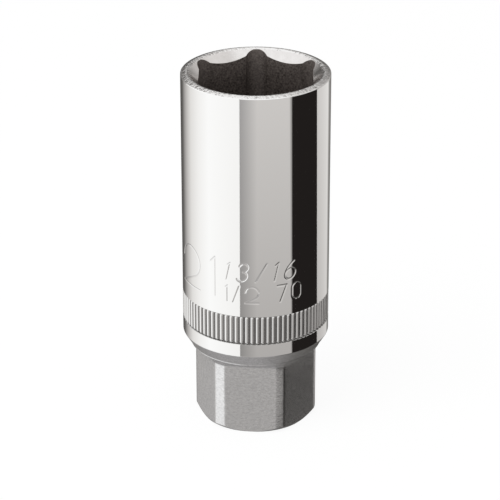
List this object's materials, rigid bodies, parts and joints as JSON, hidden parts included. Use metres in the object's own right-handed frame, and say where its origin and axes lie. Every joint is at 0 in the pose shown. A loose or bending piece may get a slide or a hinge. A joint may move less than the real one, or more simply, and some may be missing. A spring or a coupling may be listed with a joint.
{
  "type": "spark plug socket",
  "caption": "Deep spark plug socket with a hexagonal mouth, knurled band, hexagonal drive end, square drive hole and a ring magnet inside.",
  "frame": {"origin": "centre of the drive end face, at the lowest point", "axes": "+Z along the socket's axis from the drive end to the mouth; corners of the plug hexagon point along +Y and -Y, sides of the square hole lie along X and Y"},
  "size_m": [0.0278, 0.0278, 0.07],
  "materials": {
    "polished_chrome": "chrome-vanadium steel, polished and chrome plated",
    "brass_holder": "turned brass, dull",
    "magnet": "sintered magnet, matt",
    "satin_chrome": "chrome over a blasted surface, satin",
    "unpolished_bore": "dark as-broached steel, matt"
  },
  "bodies": {
    "root": {"socket_body": "polished_chrome", "magnet_holder": "brass_holder", "ring_magnet": "magnet"}
  },
  "joints": []
}
